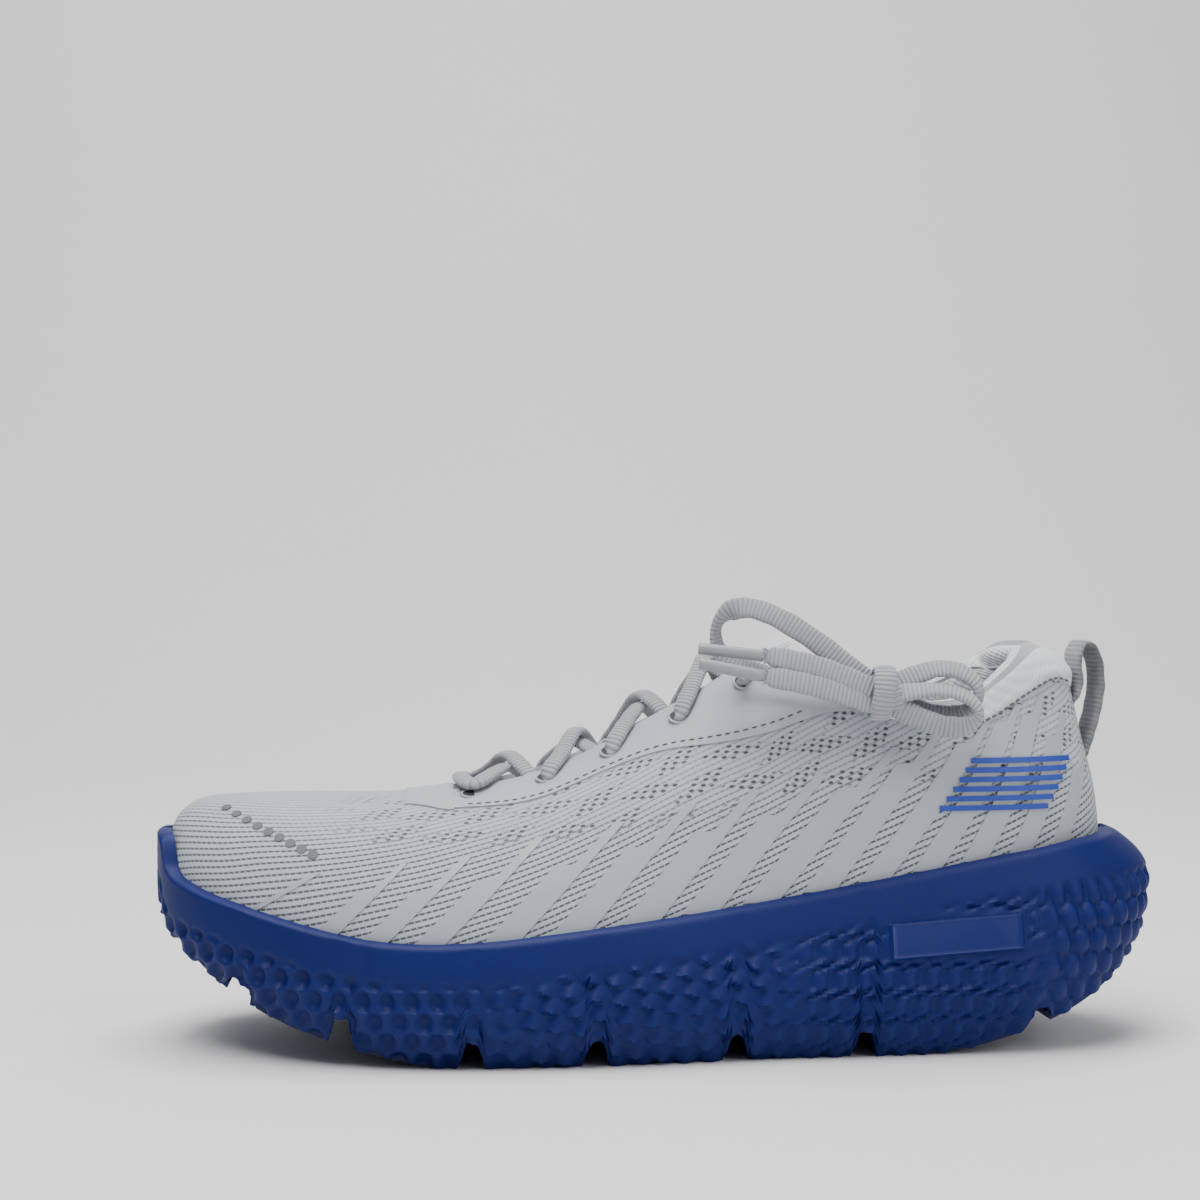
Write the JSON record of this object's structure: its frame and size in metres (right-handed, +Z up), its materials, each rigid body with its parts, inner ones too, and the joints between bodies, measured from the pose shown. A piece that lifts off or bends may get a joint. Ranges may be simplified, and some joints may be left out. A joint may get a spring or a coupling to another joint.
{
  "type": "running shoe",
  "caption": "Left running shoe with a thick moulded foam sole, a knitted upper, padded collar and tongue, tied laces and a heel pull tab.",
  "frame": {"origin": "on the standing surface, under the middle of the shoe's length and width", "axes": "+X from the toe to the heel, -Y towards the outer side of the foot, +Z up"},
  "size_m": [0.3, 0.1115, 0.132],
  "materials": {
    "foam_blue": "matte moulded foam",
    "rubber_blue": "matte moulded rubber",
    "plate_dark": "matte",
    "badge_blue": "satin",
    "board": "non-woven",
    "sockliner": "napped",
    "knit_grey": "engineered knit",
    "film_grey": "matte film",
    "stripe_grey": "matte film",
    "emblem_blue": "matte print",
    "dots_grey": "matte print",
    "counter": "matte",
    "foam_pad": "open foam",
    "lining_grey": "spacer mesh",
    "tongue_grey": "padded knit",
    "lace_grey": "flat woven",
    "aglet": "satin",
    "webbing": "woven webbing"
  },
  "bodies": {
    "shoe": {"outsole_toe_pads": "rubber_blue", "outsole_forefoot_pads": "rubber_blue", "outsole_waist_pad": "rubber_blue", "outsole_heel_pads": "rubber_blue", "midsole": "foam_blue", "forefoot_plate": "plate_dark", "sidewall_badge": "badge_blue", "strobel_board": "board", "sockliner": "sockliner", "upper_mesh": "knit_grey", "eyestay_film": "film_grey", "side_stripes_lateral": "stripe_grey", "side_stripes_medial": "stripe_grey", "heel_stripes_lateral": "stripe_grey", "heel_stripes_medial": "stripe_grey", "heel_emblem": "emblem_blue", "toe_dots": "dots_grey", "heel_counter": "counter", "toe_puff": "counter", "collar_foam": "foam_pad", "collar_roll": "foam_pad", "collar_lining": "lining_grey", "tongue": "tongue_grey", "lace_lacing": "lace_grey", "lace_knot": "lace_grey", "lace_loop_tall": "lace_grey", "lace_loop_upper": "lace_grey", "lace_loop_lower": "lace_grey", "lace_tail_upper": "lace_grey", "lace_tail_lower": "lace_grey", "aglet_upper": "aglet", "aglet_lower": "aglet"},
    "tab": {"pull_tab": "webbing"}
  },
  "joints": [
    {"name": "pull_tab_flex", "type": "hinge", "parent": "shoe", "child": "tab", "pos_m": [0.1327, 0, 0.089], "axis": [0, 1, 0], "range_deg": [0, 18], "stiffness_Nm_per_rad": 0.003}
  ]
}
